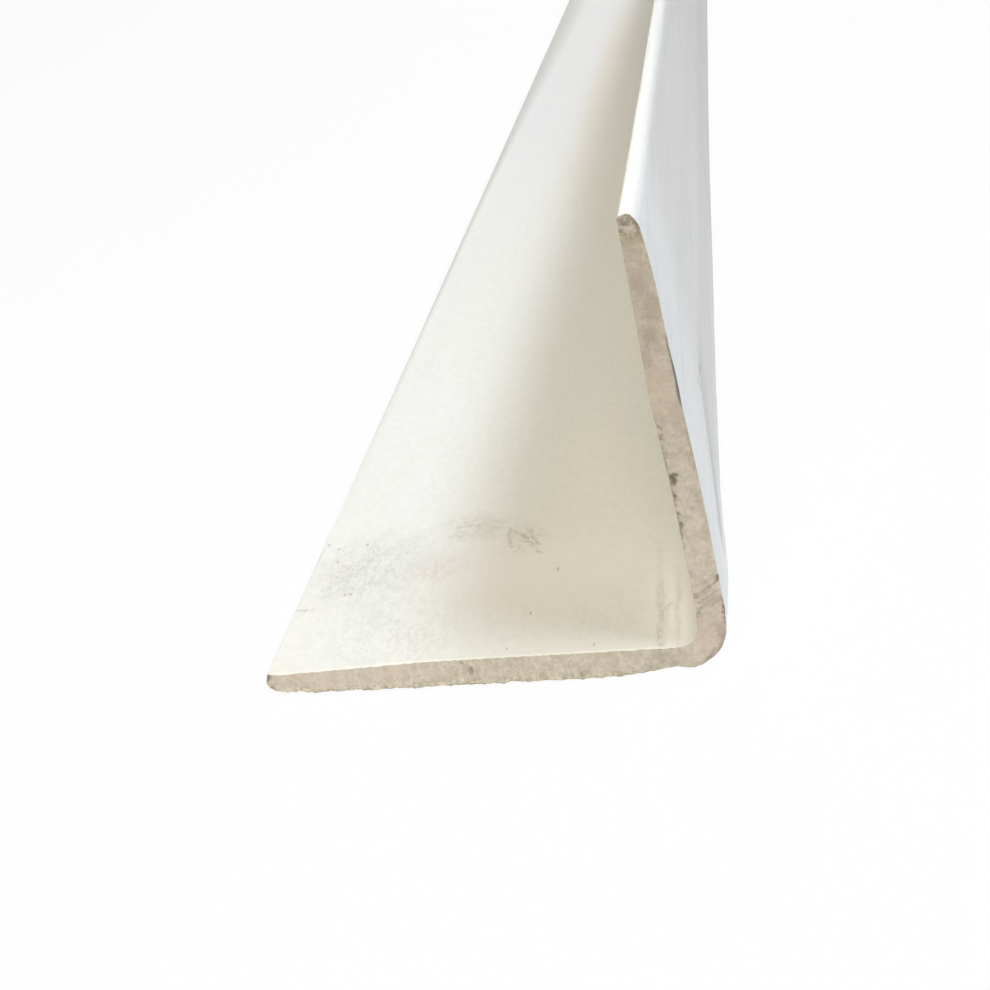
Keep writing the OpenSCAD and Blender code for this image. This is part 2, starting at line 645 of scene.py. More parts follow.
# Colours are linear
PVC = (0.875, 0.863, 0.825)
PVC_COOL = (0.865, 0.868, 0.85)
# Painted light: the pale lift in the inner fillet and at the upright's shadow edge near the cut
PVC_PAINTED_LIGHT = (0.97, 0.945, 0.945)
# Painted warm shade: the warm tone of the base leg in the upright's shadow next to the cut
PVC_WARM_SHADE = (0.86, 0.79, 0.715)
# Painted highlight: the pale cream of the rim along the base leg's cut edge
PVC_RIM_HIGHLIGHT = (0.95, 0.94, 0.87)
# Painted warm shade along the edge of the upright's shadow, further from the cut
PVC_YELLOW_SHADE = (0.84, 0.8, 0.71)
GREY = (0.58, 0.58, 0.56)
BROWN = (0.52, 0.45, 0.37)
OLIVE = (0.44, 0.42, 0.33)
RUB_PINK = (0.72, 0.6, 0.55)
DARK = (0.34, 0.32, 0.28)
DIRT = (0.2, 0.17, 0.13)
# Painted shade along the inside of the base leg's tip
TIP_SHADE = (0.44, 0.41, 0.35)
OUTSIDE_NEAR = (0.915, 0.92, 0.91)
DUST_FILM = (0.685, 0.65, 0.58)
DUST_BAND = (0.57, 0.56, 0.55)
STREAK = (0.6, 0.6, 0.6)

# Rubs on the inside of the base leg near the cut, in mm of the straight stock:
# centre, reach, colour, strength and the grain that breaks the rub up
RUBS = {
    "grey_haze": ((-16, 14, 2.4), (13.5, 12, 1.8), GREY, 0.34, (0.65, 0.75, 9)),
    "grey_fleck": ((-18, 16, 2.4), (10.5, 8.5, 1.8), DARK, 0.3, (0.38, 0.45, 9)),
    "grey_low": ((-11.5, 4.5, 2.2), (13, 9, 1.8), GREY, 0.4, (0.5, 0.6, 9)),
    "brown_left": ((-5.8, 21.6, 2.6), (5.6, 3.6, 1.2), BROWN, 0.37, (0.9, 0.6, 9)),
    "olive_right": ((1.6, 18.6, 2.6), (4.2, 3.9, 1.2), OLIVE, 0.35, (0.8, 0.6, 9)),
    "pink_haze": ((-9, 14.4, 2.6), (5.5, 3.6, 1.2), RUB_PINK, 0.45, (1.2, 1.2, 9)),
    "joining_haze": ((-2.2, 20.6, 2.6), (4.2, 3, 1.2), BROWN, 0.26, (0.7, 0.6, 9)),
    "cream_scuff": ((18, 4.5, 2.8), (1.1, 8.5, 1.6), OLIVE, 0.33, (0.45, 2, 9)),
    "cream_scuff_2": ((19.7, 5.5, 2.8), (0.7, 8, 1.6), OLIVE, 0.24, (0.45, 2, 9)),
    "scuff_speckle": ((13, 5, 2.8), (8, 7, 1.6), OLIVE, 0.1, (0.5, 0.6, 9)),
}

# Thin scraped lines there: the x and y of both ends, width, colour and strength
STROKES = [
    ((-22.2, 12.6), (-19.6, 14.6), 0.55, GREY, 0.42),
    ((-19.6, 14.6), (-17.8, 16.3), 0.45, GREY, 0.36),
    ((-22.3, 11.4), (-19.7, 12.5), 0.5, GREY, 0.36),
    ((-19.7, 12.5), (-16.6, 12.8), 0.4, GREY, 0.34),
    ((-16.6, 12.8), (-13.7, 12.9), 0.36, GREY, 0.24),
    ((-19.2, 11.4), (-18.5, 11.4), 0.3, DARK, 0.55),
    ((-24.9, 9.7), (-22.6, 9.4), 0.32, BROWN, 0.55),
    ((-7.4, 21.8), (-4.8, 21.5), 0.42, BROWN, 0.32),
    ((-4.6, 23.2), (-2.8, 22.6), 0.5, BROWN, 0.2),
    ((-3.6, 21.3), (-0.6, 20.6), 0.34, BROWN, 0.18),
    ((-8.2, 20.1), (-6.4, 19.7), 0.42, BROWN, 0.26),
    ((-0.4, 20.5), (-0.6, 18.8), 0.38, OLIVE, 0.38),
    ((-0.6, 18.8), (0.1, 17.2), 0.34, OLIVE, 0.4),
    ((0.1, 20), (1.3, 19), 0.38, OLIVE, 0.48),
    ((1.3, 19), (2.5, 17.6), 0.38, OLIVE, 0.48),
    ((2.4, 18.8), (3.4, 17.5), 0.36, OLIVE, 0.48),
    ((1.6, 20.3), (2.6, 19.3), 0.34, OLIVE, 0.34),
    ((3.3, 16.2), (3.8, 15.9), 0.34, OLIVE, 0.45),
    ((18, 0.2), (17.9, 9.5), 0.5, OLIVE, 0.26),
    ((17.8, 8), (17.6, 16), 0.6, OLIVE, 0.12),
    ((19.8, 1.5), (19.6, 12), 0.4, OLIVE, 0.14),
    ((18.5, 5.4), (19, 6.2), 0.32, OLIVE, 0.36),
]

# Single specks there: centre and reach
SPECK_STRENGTH = 0.38
SPECKS = [
    ((6.1, 12.8, 2.6), (0.22, 0.42, 0.6)),
    ((3.8, 6.1, 2.6), (0.18, 0.34, 0.6)),
    ((1.9, 1.2, 2.6), (0.16, 0.26, 0.6)),
    ((11.2, 1.1, 2.6), (0.2, 0.3, 0.6)),
    ((-24.3, 20.9, 2), (0.3, 0.34, 0.6)),
    ((-22.7, 19.9, 2.1), (0.28, 0.26, 0.6)),
    ((-18.9, 20.1, 2.2), (0.24, 0.4, 0.6)),
    ((-22.1, 17.5, 2.1), (0.24, 0.36, 0.6)),
]

# Fly specks on the outside of the upright: centre and reach
FLY_SPECK_STRENGTH = 0.6
FLY_SPECKS = [
    ((25, 21.6, 21.6), (0.6, 1.1, 0.9)),
    ((25, 18, 22.6), (0.6, 0.7, 0.7)),
    ((25, 18.3, 21.5), (0.6, 0.6, 0.5)),
    ((25, 24, 20.4), (0.6, 0.8, 0.4)),
]

# Each rub has a fine grain, and a coarse one so many times its size that breaks it into patches
FINE_RUB = (0.45, 0.59)
COARSE_RUB = (0.24, 0.54)
COARSE_RUB_SIZE = 3.5
RUB_GAPS = 0.2
BASE_INSIDE_Z = (1.7, 1.9, 2.9, 3.2)


def add_rubs(graph, colour):
    """The rubs, scraped lines and specks, laid over the colour"""
    for centre, reach, tone, strength, grain in RUBS.values():
        fine = graph.rise(graph.noise(grain, 4.0, 0.75, (centre[0], 0, 3)), *FINE_RUB)
        coarse_grain = [size * COARSE_RUB_SIZE for size in grain]
        coarse = graph.rise(graph.noise(coarse_grain, 2.0, 0.6, (0, centre[1], 5)), *COARSE_RUB)
        filled = graph.math("ADD", graph.both(fine, 1 - RUB_GAPS), RUB_GAPS)
        share = graph.both(graph.blob(centre, reach, 0.85), filled, coarse, strength)
        colour = graph.mix(share, colour, tone)
    inside = graph.within(z=BASE_INSIDE_Z)
    ragged = graph.patchy("ragged")
    place = graph.flat_place(0.9, (1, 1, 0))
    for first, last, width, tone, strength in STROKES:
        line = graph.stroke(place, (*first, 0), (*last, 0), width)
        share = graph.both(line, inside, ragged, strength)
        colour = graph.mix(share, colour, tone)
    for specks, strength in ((SPECKS, SPECK_STRENGTH), (FLY_SPECKS, FLY_SPECK_STRENGTH)):
        for centre, reach in specks:
            colour = graph.mix(graph.both(graph.blob(centre, reach), strength), colour, DIRT)
    return colour


# Rub marks on the outside of the upright: most climb a little along it, others run level
OUTSIDE_X = (24.2, 24.8)
STREAK_SLOPE = 0.29
STREAK_WIDTH = 1.6
STREAK_LENGTH = 30
STREAK_RISE = (0.52, 0.68)
LEVEL_SHARE = 0.5


def outside_streaks(graph):
    """Grey rub marks on the outside of the upright, nearly along its length"""
    climb = graph.math("SUBTRACT", graph.z, graph.math("MULTIPLY", graph.y, STREAK_SLOPE))
    place = graph.new("CombineXYZ")
    graph.put(place.inputs[0], graph.math("DIVIDE", climb, STREAK_WIDTH))
    graph.put(place.inputs[1], graph.math("DIVIDE", graph.y, STREAK_LENGTH))
    slanted = graph.rise(graph.plain_noise(place.outputs[0], 4)[0], *STREAK_RISE)
    level = graph.patchy("level_streaks", LEVEL_SHARE)
    return graph.both(graph.within(x=OUTSIDE_X), graph.math("MAXIMUM", slanted, level))


# Painted shade inside the base leg's tip: a band that widens along the stock, and a thin line on the edge
BASE_TIP_X = -25
TIP_SHADE_Z = (0.9, 1.4)
TIP_SHADE_WIDTH = 1.1
TIP_SHADE_WIDENS_BY = 7
TIP_SHADE_WIDENS_Y = (100, 350)
TIP_SHADE_EDGE = (1.2, 0.1)
TIP_SHADE_Y = (10, 130)
TIP_SHADE_STRENGTH = 0.5
TIP_SHADE_LINE = {"x": (-24.45, -24.8), "y": (20, 95)}
TIP_SHADE_LINE_STRENGTH = 0.62


def tip_edge_shade(graph):
    """Painted shade on the inside of the base leg's tip, a wider band further from the cut"""
    widening = graph.math("MULTIPLY", graph.within(y=TIP_SHADE_WIDENS_Y), TIP_SHADE_WIDENS_BY)
    width = graph.math("ADD", widening, TIP_SHADE_WIDTH)
    into = graph.math("DIVIDE", graph.math("SUBTRACT", graph.x, BASE_TIP_X), width)
    band = graph.both(graph.rise(into, *TIP_SHADE_EDGE), graph.within(y=TIP_SHADE_Y), TIP_SHADE_STRENGTH)
    line = graph.both(graph.within(**TIP_SHADE_LINE), TIP_SHADE_LINE_STRENGTH)
    return graph.both(graph.math("MAXIMUM", band, line), graph.within(z=TIP_SHADE_Z))


# The outside of the upright. Dust starts past a line that slants back as it goes up, is thickest
# there and eases off further along. Plain layers are where they lie, their colour and strength.
CLEAN_END = ({"x": OUTSIDE_X, "y": (24, 3)}, OUTSIDE_NEAR, 0.9)
DUST_BY_CUT = ((6, 30), 0.4)
DUST_FURTHER = ((30, 200), 0.41)
DUST_LINE_SLOPE = 0.97
DUST_LINE_START = 0.2
DUST_LINE_WOBBLE = 2.4
DUST_LINE_GRAIN = (9, 3.5, 3.5)
DUST_BAND_PAST = (-1, 1.4)
DUST_EASES_PAST = (1, 16)
DUST_EASES_BY = 0.65
DUST_BAND_Z = (7, 9.5, 19, 25)
DUST_BAND_STRENGTH = 0.95
# Darker over the outside corner near the floor, growing from 25 mm to 110 mm along the stock
CORNER_DARKENING = ({"x": (23, 24.5), "y": (25, 110), "z": (0.5, 2, 5, 8.5)}, DUST_BAND, 0.5)
SPECKLE_STRENGTH = 0.12
# Darker on the outside face beside the dark line along the upright's cut edge
OUTSIDE_EDGE_DARK = ((25, 0, 34.2), (0.8, 0.35, 3.8), 0.7)
OUTSIDE_EDGE_DARK_STRENGTH = 0.8


def dust_band(graph):
    """The band of dust past the slanting line"""
    line = graph.math("ADD", graph.math("MULTIPLY", graph.z, DUST_LINE_SLOPE), DUST_LINE_START)
    wobble = graph.noise(DUST_LINE_GRAIN, 3.0, 0.6, (2, 6, 0))
    wobbling = graph.math("ADD", graph.y, graph.math("MULTIPLY", wobble, DUST_LINE_WOBBLE))
    past = graph.math("SUBTRACT", wobbling, line)
    eased = graph.both(graph.rise(past, *DUST_EASES_PAST), DUST_EASES_BY)
    left = graph.math("SUBTRACT", 1.0, eased)
    rising = graph.rise(past, *DUST_BAND_PAST)
    return graph.both(rising, left, graph.within(z=DUST_BAND_Z), DUST_BAND_STRENGTH)


def outside_film(graph, colour):
    """The outside of the upright: clean and pale at the sawn end, dusty past a slanting line"""
    outside = graph.within(x=OUTSIDE_X)
    colour = graph.lay(colour, *CLEAN_END)
    films = [graph.both(graph.within(y=span), share) for span, share in (DUST_BY_CUT, DUST_FURTHER)]
    colour = graph.mix(graph.both(graph.math("ADD", *films), outside), colour, DUST_FILM)
    colour = graph.mix(graph.both(dust_band(graph), outside), colour, DUST_BAND)
    colour = graph.lay(colour, *CORNER_DARKENING)
    speckle = graph.both(graph.patchy("speckle", SPECKLE_STRENGTH), outside)
    colour = graph.mix(speckle, colour, DUST_BAND)
    return graph.mix(graph.both(graph.blob(*OUTSIDE_EDGE_DARK), OUTSIDE_EDGE_DARK_STRENGTH), colour, DIRT)


# Soft patches of painted light and shade on the inside: centre, reach, how soft the edge is, colour and
# strength
LIGHT_AND_SHADE_PATCHES = {
    # Painted light in the inner fillet near the cut, lifting the shade of the corner
    "painted_light_fillet": ((21, 2, 4.6), (6.5, 26, 6.5), 0.9, PVC_PAINTED_LIGHT, 0.95),
    # Painted warm shade along the edge of the upright's shadow, further from the cut
    "painted_warm_shadow_edge": ((-2, 215, 2.6), (8, 130, 3), 0.8, PVC_YELLOW_SHADE, 0.8),
    # Painted light across the edge of the upright's shadow near the cut
    "painted_light_shadow_edge": ((3, 13, 2.6), (15, 10.5, 3), 0.9, PVC_PAINTED_LIGHT, 0.5),
}

# The inside of the base leg next to the cut: painted warm shade in the middle, and a thin pale
# rim on the edge, a painted highlight, that grows stronger away from the tip
WARM_SHADE_BY_CUT = ({"x": (-3, 8, 12, 20), "y": (3.5, 0.5), "z": (1.5, 1.9)}, PVC_WARM_SHADE, 0.24)
RIM_HIGHLIGHT = {"x": (22, 17), "y": (0.34, 0.16), "z": (1.5, 1.9)}
RIM_HIGHLIGHT_GROWS_X = (-20, 2)
RIM_HIGHLIGHT_GROWS_BY = 0.55
RIM_HIGHLIGHT_LEAST = 0.35

# Mottling and gloss of the plastic; depths in mm
MOTTLE_STRENGTH = 0.1
STREAK_STRENGTH = 0.17
DIE_LINE_GRAIN = (0.35, 90, 0.35)
DIE_LINE_DEPTH = 0.006
SATIN_GRAIN = (0.4, 0.5, 0.4)
SATIN_DEPTH = 0.005
SATIN_ROUGHNESS = 0.36
SATIN_UNEVENNESS = 0.12
STREAK_ROUGHNESS = 0.12
SATIN_SPECULAR = 0.4


def satin_pvc():
    """Extruded PVC: satin, with faint die lines along it, rubs and dirt, and painted light, shade and
    highlights
    """
    graph = Graph("pvc_satin")
    shader = graph.shader
    colour = graph.mix(graph.patchy("clouds"), PVC, PVC_COOL)
    colour = graph.mix(graph.patchy("mottle", MOTTLE_STRENGTH), colour, GREY)
    colour = outside_film(graph, colour)
    streaks = outside_streaks(graph)
    colour = graph.mix(graph.both(streaks, STREAK_STRENGTH), colour, STREAK)
    # Painted shade along the inside edge of the base leg's tip
    colour = graph.mix(tip_edge_shade(graph), colour, TIP_SHADE)
    # Painted light and painted warm shade on the inside of the base leg
    for centre, reach, edge, tone, strength in LIGHT_AND_SHADE_PATCHES.values():
        colour = graph.mix(graph.both(graph.blob(centre, reach, edge), strength), colour, tone)
    # Painted warm shade on the base leg next to the cut, inside the upright's shadow
    colour = graph.lay(add_rubs(graph, colour), *WARM_SHADE_BY_CUT)
    # The rim along the cut edge of the base leg is a painted highlight
    rim = graph.math("ADD", graph.both(graph.within(x=RIM_HIGHLIGHT_GROWS_X), RIM_HIGHLIGHT_GROWS_BY), RIM_HIGHLIGHT_LEAST)
    colour = graph.lay(colour, RIM_HIGHLIGHT, PVC_RIM_HIGHLIGHT, rim)
    graph.put(shader.inputs["Base Color"], colour)

    die_lines = graph.noise(DIE_LINE_GRAIN, 2.0)
    grain = graph.noise(SATIN_GRAIN, 2.0)
    uneven = graph.math("MULTIPLY", die_lines, SATIN_UNEVENNESS)
    roughness = graph.math("ADD", uneven, SATIN_ROUGHNESS)
    rubbed = graph.math("ADD", roughness, graph.both(streaks, STREAK_ROUGHNESS))
    graph.put(shader.inputs["Roughness"], rubbed)
    relief = graph.bump((die_lines, DIE_LINE_DEPTH), (grain, SATIN_DEPTH))
    graph.put(shader.inputs["Normal"], relief)
    shader.inputs["Specular IOR Level"].default_value = SATIN_SPECULAR
    return graph.material


# Colours of the cut face
CUT_PVC = (0.72, 0.645, 0.59)
CUT_PALE = (0.78, 0.715, 0.645)
CUT_GREY = (0.555, 0.495, 0.445)
CUT_OLIVE = (0.59, 0.545, 0.475)
WINE = (0.3, 0.19, 0.16)
PINK = (0.72, 0.58, 0.5)
SHADE = (0.42, 0.36, 0.28)
CRUMB = (0.84, 0.77, 0.6)
MOSS = (0.32, 0.29, 0.19)

# The marks on the cut face go this far into the stock, since its relief is uneven
CUT_DEPTH = 9

# The ground of the cut face: greyer up the upright, more olive along the base, and mottled with
# patches laid one over another. Where each lies, its colour and its strength.
GREYER_UP = ({"z": (14, 38)}, CUT_GREY, 0.8)
OLIVE_BASE = ({"x": (23, 17)}, CUT_OLIVE, 0.62)
CUT_MOTTLES = {
    "cut_shade": ({}, SHADE, 0.36),
    "cut_patch": ({}, SHADE, 0.34),
    "cut_pale": ({}, CRUMB, 0.24),
    "cut_fleck": ({}, SHADE, 0.48),
    "cut_moss": ({"z": (29, 37)}, MOSS, 0.24),
    "cut_tip": ({"z": (47.2, 48.6)}, DIRT, 0.65),
    "cut_fuzz": ({}, CRUMB, 0.12),
}

# Where the cut face is stained: centre and reach in x and z, colour and strength
CUT_STAINS = [
    ((23.2, 33.5), (2.4, 6), PINK, 0.4),
    ((23.8, 4.5), (2.8, 5), PINK, 0.35),
    ((22.4, 3.4), (1.3, 1.5), PINK, 0.5),
    ((-19, 1.2), (7, 2.4), PINK, 0.32),
    ((-10.5, 1.5), (3.5, 1.4), PINK, 0.32),
    ((-5.8, 1.6), (2.2, 1.2), PINK, 0.3),
    ((23.9, 45), (1.2, 2.4), SHADE, 0.22),
    ((24.3, 41.8), (1, 2.2), SHADE, 0.55),
    ((23.4, 43.6), (0.8, 1.5), SHADE, 0.45),
    ((23.6, 39), (1.1, 1.2), SHADE, 0.6),
    ((23, 36.2), (0.7, 1), SHADE, 0.45),
    ((22.9, 37.4), (0.9, 1.2), SHADE, 0.25),
    ((22.9, 30.6), (0.8, 1.2), SHADE, 0.3),
    ((24.2, 30), (0.9, 1.4), SHADE, 0.3),
    ((23.5, 47.6), (1.5, 1.4), SHADE, 0.4),
    ((23.4, 49.5), (0.6, 0.45), DIRT, 0.6),
    ((23.1, 48.8), (0.45, 0.45), DIRT, 0.6),
    ((24.6, 49.2), (0.5, 0.8), DIRT, 0.55),
    ((24.7, 47.9), (0.35, 0.7), SHADE, 0.8),
    ((-24.9, 1.8), (0.5, 0.45), DIRT, 0.85),
    ((-24.6, 0.7), (0.5, 0.35), DIRT, 0.55),
    ((25.05, 27), (0.35, 5), SHADE, 0.7),
    ((-2, 1.4), (0.36, 0.75), DIRT, 0.6),
    ((-14.2, -0.2), (1.8, 0.35), DIRT, 0.6),
    ((-2.9, 2.3), (0.36, 0.36), DIRT, 0.45),
    ((22.7, 23.5), (0.6, 0.85), DIRT, 1),
    ((23.15, 24.25), (0.55, 0.28), DIRT, 0.95),
    ((22.6, 21.6), (0.34, 0.4), DIRT, 0.9),
    ((22.55, 19.5), (0.32, 0.4), DIRT, 0.85),
    ((22.55, 18.3), (0.32, 0.45), DIRT, 0.9),
    ((22.7, 29.4), (0.4, 0.45), DIRT, 0.65),
    ((22.65, 28.5), (0.34, 0.4), DIRT, 0.6),
    ((22.6, 26.5), (0.3, 0.6), SHADE, 0.7),
    ((24.9, 11.4), (0.3, 0.5), DIRT, 0.8),
    ((24, 10.4), (0.3, 0.36), DIRT, 0.55),
    ((22.65, 9.4), (0.36, 0.6), SHADE, 0.8),
    ((22.7, 7.1), (0.28, 0.36), DIRT, 0.55),
    ((25.05, 7.2), (0.42, 2.9), WINE, 0.95),
    ((24.5, 4.6), (0.7, 1.6), WINE, 0.35),
    ((9.8, 0.4), (0.9, 0.5), DIRT, 0.4),
    ((13.9, 0.1), (1, 0.45), SHADE, 0.6),
    ((5.6, 0.5), (0.7, 0.5), SHADE, 0.45),
    ((19.1, 0.5), (0.7, 0.55), SHADE, 0.5),
    ((18.3, 1.8), (0.8, 0.55), SHADE, 0.45),
    ((18, 2.7), (0.45, 0.32), DIRT, 0.65),
    ((17.8, 1), (0.5, 0.45), SHADE, 0.45),
]

# The dark line on the outside edge of the upright's cut: centre and reach in x and z, strength
CUT_EDGE_LINE = [
    ((25.02, 34.3), (0.24, 3.6), 1),
    ((25.02, 32.7), (0.34, 1.7), 0.85),
    ((24.95, 37.6), (0.22, 1.6), 0.6),
]

# Dark scratches in the cut face: the x and z of both ends, width, colour and strength
CUT_STROKES = [
    ((25.2, 11.7), (24.6, 11), 0.22, DIRT, 0.6),
    ((24.6, 11), (23.6, 10.1), 0.2, SHADE, 0.5),
    ((23.6, 10.1), (22.7, 9.6), 0.2, SHADE, 0.5),
    ((24.4, 9.8), (23.7, 9.2), 0.18, SHADE, 0.5),
    ((23.4, 9), (22.8, 8.5), 0.18, SHADE, 0.55),
    ((24.7, 8.6), (23.9, 7.9), 0.18, SHADE, 0.35),
    ((24.1, 8.9), (23.2, 8), 0.22, SHADE, 0.4),
    ((23, 7.8), (22.5, 7.2), 0.26, SHADE, 0.6),
    ((23.4, 2.2), (22.4, 0.6), 0.3, DIRT, 0.35),
]


# A broken dark line on the inside edge of the upright
INNER_LINE = {"x": (22.72, 22.5), "z": (13.5, 16.5, 29.5, 31.5)}
INNER_LINE_STRENGTH = 0.7

# The worn skin of the outside corner, by its distance from the middle of the corner's arc
ARC_MIDDLE = (20, 0, 5)
SKIN_RISE = (4.35, 4.85)
WORN_SKIN = {"x": (20.5, 22.5), "z": (5.0, 3.0)}
SKIN_STRENGTH = 0.5

# Short strokes of the saw, clearest by the corner: the way across them in x and z
SAW_STROKE_WAY = (0.62, -0.78)
SAW_STROKE_PITCH = 0.34
SAW_STROKE_LENGTH = 3.0
SAW_STROKE_CENTRE = (24.2, 9.0)
SAW_STROKE_REACH = (4.0, 5.0)
SAW_STROKE_RISE = (0.5, 0.62)
SAW_STROKE_STRENGTH = 0.4
SAW_STROKE_DEPTH = 0.03

# Pale and dark crumbs along the foot of the base leg, and a dark ragged fringe below them
FOOT = {"x": (19.5, 16.5), "z": (1.15, 0.1)}
CRUMB_GRAIN = (0.55, 9, 0.38)
PALE_CRUMBS = ((0.53, 0.62), 0.46)
DARK_CRUMBS = ((0.48, 0.38), 0.56)
FRINGE = {"x": (21, 18), "z": (0.16, 0.02)}
FRINGE_STRENGTH = 0.85

SAWN_GRAIN = (0.22, 9, 0.22)
SAWN_DEPTH = 0.06
SAWN_ROUGHNESS = 0.75
SAWN_SPECULAR = 0.25


def cut_blob(graph, centre, reach, edge, place=None):
    """A blob on the cut face, its centre and reach in x and z"""
    return graph.blob((centre[0], 0, centre[1]), (reach[0], CUT_DEPTH, reach[1]), edge, place)


def cut_ground(graph):
    """The beige of the cut face with its mottling and stains"""
    colour = graph.mix(graph.patchy("cut_clouds"), CUT_PVC, CUT_PALE)
    colour = graph.lay(graph.lay(colour, *GREYER_UP), *OLIVE_BASE)
    for name, (spans, tone, strength) in CUT_MOTTLES.items():
        colour = graph.lay(colour, spans, tone, graph.patchy(name, strength))
    ragged = graph.flat_place(0.8, (1, 0, 1), 2.0)
    for centre, reach, tone, strength in CUT_STAINS:
        share = graph.both(cut_blob(graph, centre, reach, 0.75, ragged), strength)
        colour = graph.mix(share, colour, tone)
    return colour


def cut_edges(graph, colour):
    """Dark lines on the inside and the outside edge of the upright and along the worn corner"""
    colour = graph.lay(colour, INNER_LINE, MOSS, graph.patchy("line_gaps", INNER_LINE_STRENGTH))
    for centre, reach, strength in CUT_EDGE_LINE:
        colour = graph.mix(graph.both(cut_blob(graph, centre, reach, 0.55), strength), colour, DIRT)
    from_middle = graph.vector("MULTIPLY", graph.vector("SUBTRACT", graph.place, ARC_MIDDLE), (1, 0, 1))
    skin = graph.rise(graph.vector("LENGTH", from_middle), *SKIN_RISE)
    return graph.lay(colour, WORN_SKIN, WINE, skin, SKIN_STRENGTH)


def saw_strokes(graph):
    """Noise drawn out into short strokes along the way that the saw went"""
    terms = [graph.math("MULTIPLY", axis, way) for axis, way in zip((graph.x, graph.z), SAW_STROKE_WAY)]
    wave = graph.new("CombineXYZ")
    graph.put(wave.inputs[0], graph.math("DIVIDE", graph.math("ADD", *terms), SAW_STROKE_PITCH))
    along = graph.math("DIVIDE", graph.math("ADD", graph.x, graph.z), SAW_STROKE_LENGTH)
    graph.put(wave.inputs[1], along)
    return graph.plain_noise(wave.outputs[0])[0]


def cut_foot(graph, colour):
    """The crumbs and the fringe along the foot of the base leg"""
    crumbs = graph.noise(CRUMB_GRAIN, 3, 0.7)
    for (span, strength), tone in ((PALE_CRUMBS, CRUMB), (DARK_CRUMBS, MOSS)):
        colour = graph.lay(colour, FOOT, tone, graph.rise(crumbs, *span), strength)
    return graph.lay(colour, FRINGE, MOSS, graph.patchy("fringe_breaks", FRINGE_STRENGTH))


def sawn_pvc():
    """The rough beige face that a saw leaves, darker and pinker in places"""
    graph = Graph("pvc_sawn")
    shader = graph.shader
    colour = cut_edges(graph, cut_ground(graph))
    place = graph.flat_place(0.5, (1, 0, 1))
    for first, last, width, tone, strength in CUT_STROKES:
        line = graph.stroke(place, (first[0], 0, first[1]), (last[0], 0, last[1]), width)
        colour = graph.mix(graph.both(line, strength), colour, tone)
    strokes = saw_strokes(graph)
    by_corner = cut_blob(graph, SAW_STROKE_CENTRE, SAW_STROKE_REACH, 0.6)
    stroke = graph.both(graph.rise(strokes, *SAW_STROKE_RISE), by_corner, SAW_STROKE_STRENGTH)
    colour = graph.mix(stroke, colour, SHADE)
    graph.put(shader.inputs["Base Color"], cut_foot(graph, colour))
    grain = graph.noise(SAWN_GRAIN, 4, 0.65)
    relief = graph.bump((grain, SAWN_DEPTH), (strokes, SAW_STROKE_DEPTH))
    graph.put(shader.inputs["Normal"], relief)
    shader.inputs["Roughness"].default_value = SAWN_ROUGHNESS
    shader.inputs["Specular IOR Level"].default_value = SAWN_SPECULAR
    return graph.material


def build_angle():
    mesh = build_mesh()
    mesh.materials.append(satin_pvc())
    mesh.materials.append(sawn_pvc())
    angle = bpy.data.objects.new("pvc_corner_angle", mesh)
    bpy.context.scene.collection.objects.link(angle)
    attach(angle, "root")
    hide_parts(NODE)
    return angle


FLOOR_SIZE = 12.0
FLOOR_COLOUR = (0.8, 0.8, 0.8)
FLOOR_GAP = 0.2 * MM
SEEN_WHITE_SHARE = 0.95


def seen_rays(tree):
    """1 for a ray that shows the background: from the camera, or by way of a reflection or glass"""
    path = tree.nodes.new("ShaderNodeLightPath")
    result = path.outputs["Is Camera Ray"]
    for name in ("Is Glossy Ray", "Is Transmission Ray"):
        either = tree.nodes.new("ShaderNodeMath")
        either.operation = "MAXIMUM"
        tree.links.new(result, either.inputs[0])
        tree.links.new(path.outputs[name], either.inputs[1])
        result = either.outputs[0]
    return result


def show_white(tree, lit, white_kind, share, output_kind):
    """Show plain white to the rays that show the background, and the lit shader to the others"""
    white = tree.nodes.new(white_kind)
    white.inputs["Color"].default_value = (1, 1, 1, 1)
    white.inputs["Strength"].default_value = 1.0
    both = tree.nodes.new("ShaderNodeMixShader")
    tree.links.new(share, both.inputs["Fac"])
    tree.links.new(lit.outputs[0], both.inputs[1])
    tree.links.new(white.outputs[0], both.inputs[2])
    output = tree.nodes.new(output_kind)
    tree.links.new(both.outputs[0], output.inputs["Surface"])


def build_floor():
    """A pale floor that looks white and keeps the object's shadow"""
    half = FLOOR_SIZE / 2
    level = node_low.z - FLOOR_GAP
    mesh = bpy.data.meshes.new("floor")
    corners = [(-half, -half, level), (half, -half, level), (half, half, level), (-half, half, level)]
    mesh.from_pydata(corners, [], [(0, 1, 2, 3)])
    floor = bpy.data.objects.new("floor", mesh)
    bpy.context.scene.collection.objects.link(floor)

    material = bpy.data.materials.new("floor_white")
    material.use_nodes = True
    tree = material.node_tree
    tree.nodes.clear()
    matte = tree.nodes.new("ShaderNodeBsdfDiffuse")
    matte.inputs["Color"].default_value = (*FLOOR_COLOUR, 1)
    share = tree.nodes.new("ShaderNodeMath")
    share.operation = "MULTIPLY"
    tree.links.new(seen_rays(tree), share.inputs[0])
    share.inputs[1].default_value = SEEN_WHITE_SHARE
    show_white(tree, matte, "ShaderNodeEmission", share.outputs[0], "ShaderNodeOutputMaterial")
    mesh.materials.append(material)


AMBIENT_COLOUR = (1.0, 0.94, 0.8)
AMBIENT_STRENGTH = 0.07


def build_world():
    """Soft light from all round; seen directly or in a reflection, it is plain white"""
    world = bpy.data.worlds.new("studio")
    bpy.context.scene.world = world
    world.use_nodes = True
    tree = world.node_tree
    tree.nodes.clear()
    ambient = tree.nodes.new("ShaderNodeBackground")
    ambient.inputs["Color"].default_value = (*AMBIENT_COLOUR, 1)
    ambient.inputs["Strength"].default_value = AMBIENT_STRENGTH
    show_white(tree, ambient, "ShaderNodeBackground", seen_rays(tree), "ShaderNodeOutputWorld")


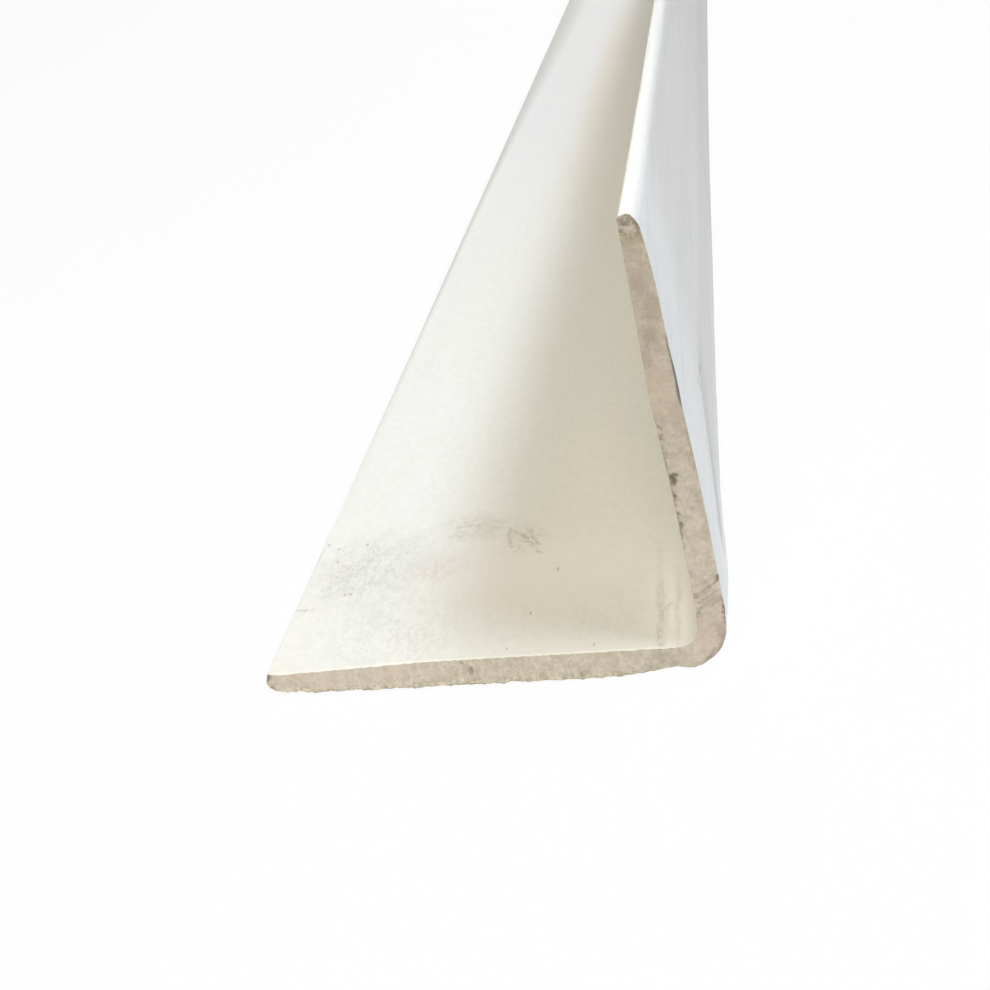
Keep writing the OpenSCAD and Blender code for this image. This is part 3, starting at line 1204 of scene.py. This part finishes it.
# Lamps by name: the turn of its direction from the front towards +X and its height, in degrees,
# its distance and the y of the point that it faces, its length and width, in metres, its power in
# watts, its colour and the spread of its beam in degrees. The key is a row of softboxes with
# grids over the +X side, each a little higher than the one before, so that the shadow of the
# upright narrows away from the cut. The far fill lights the inside of the length's far half.
LAMPS = {
    "key_1": (90, 57, 1.0, -0.6, 0.2, 0.14, 0.225, (0.8, 0.875, 1.0), 40),
    "key_2": (90, 61, 1.0, -0.4, 0.2, 0.14, 0.145, (0.74, 0.83, 1.0), 40),
    "key_3": (90, 65, 1.0, -0.2, 0.2, 0.14, 0.145, (0.84, 0.89, 1.0), 40),
    "key_4": (90, 69, 1.0, 0.0, 0.2, 0.14, 0.205, (0.8, 0.85, 1.0), 40),
    "key_5": (90, 70, 1.0, 0.2, 0.2, 0.14, 0.17, (0.8, 0.86, 1.0), 40),
    "key_6": (90, 70, 1.0, 0.4, 0.2, 0.14, 0.17, (0.8, 0.86, 1.0), 40),
    "front_fill": (0, 50, 0.5, -0.45, 0.25, 0.25, 1.44, (1.0, 0.955, 0.78), 180),
    "left_fill": (-90, 45, 1.5, -0.2, 1.5, 0.4, 3.0, (1.0, 0.8, 0.52), 180),
    "far_fill": (-90, 40, 1.0, 0.34, 0.6, 0.25, 0.31, (0.95, 0.93, 0.9), 40),
}


def build_lamps():
    for name, settings in LAMPS.items():
        turn, height, distance, target_y, length, width, power, colour, spread = settings
        data = bpy.data.lights.new(name, "AREA")
        data.shape = "RECTANGLE"
        data.size = length
        data.size_y = width
        data.energy = power
        data.color = colour
        data.spread = math.radians(spread)
        across = math.sin(math.radians(turn)) * math.cos(math.radians(height))
        back = math.cos(math.radians(turn)) * math.cos(math.radians(height))
        towards_lamp = Vector((across, -back, math.sin(math.radians(height))))
        lamp = bpy.data.objects.new(name, data)
        lamp.location = Vector((0, target_y, 0)) + distance * towards_lamp
        lamp.rotation_mode = "QUATERNION"
        lamp.rotation_quaternion = (-towards_lamp).to_track_quat("-Z", "Y")
        bpy.context.scene.collection.objects.link(lamp)


# The camera looks down at the sawn end from just outside the upright
CAMERA_PLACE = (31.486 * MM, -576.794 * MM, 81.937 * MM)
CAMERA_TURN = (62.1157, 11.3635, 7.2633)
CAMERA_LENS = 38.1818
CAMERA_SENSOR = 36.0
CAMERA_SHIFT = (-0.04545, -0.17677)


def build_camera():
    data = bpy.data.cameras.new("camera")
    data.sensor_width = CAMERA_SENSOR
    data.lens = CAMERA_LENS
    data.shift_x, data.shift_y = CAMERA_SHIFT
    data.clip_start = 5 * MM
    data.clip_end = 30.0
    camera = bpy.data.objects.new("camera", data)
    camera.location = CAMERA_PLACE
    camera.rotation_mode = "XYZ"
    camera.rotation_euler = Euler([math.radians(angle) for angle in CAMERA_TURN], "XYZ")
    bpy.context.scene.collection.objects.link(camera)
    bpy.context.scene.camera = camera


bpy.context.scene.view_settings.view_transform = "Standard"
build_camera()
build_world()
build_floor()
build_lamps()
build_angle()
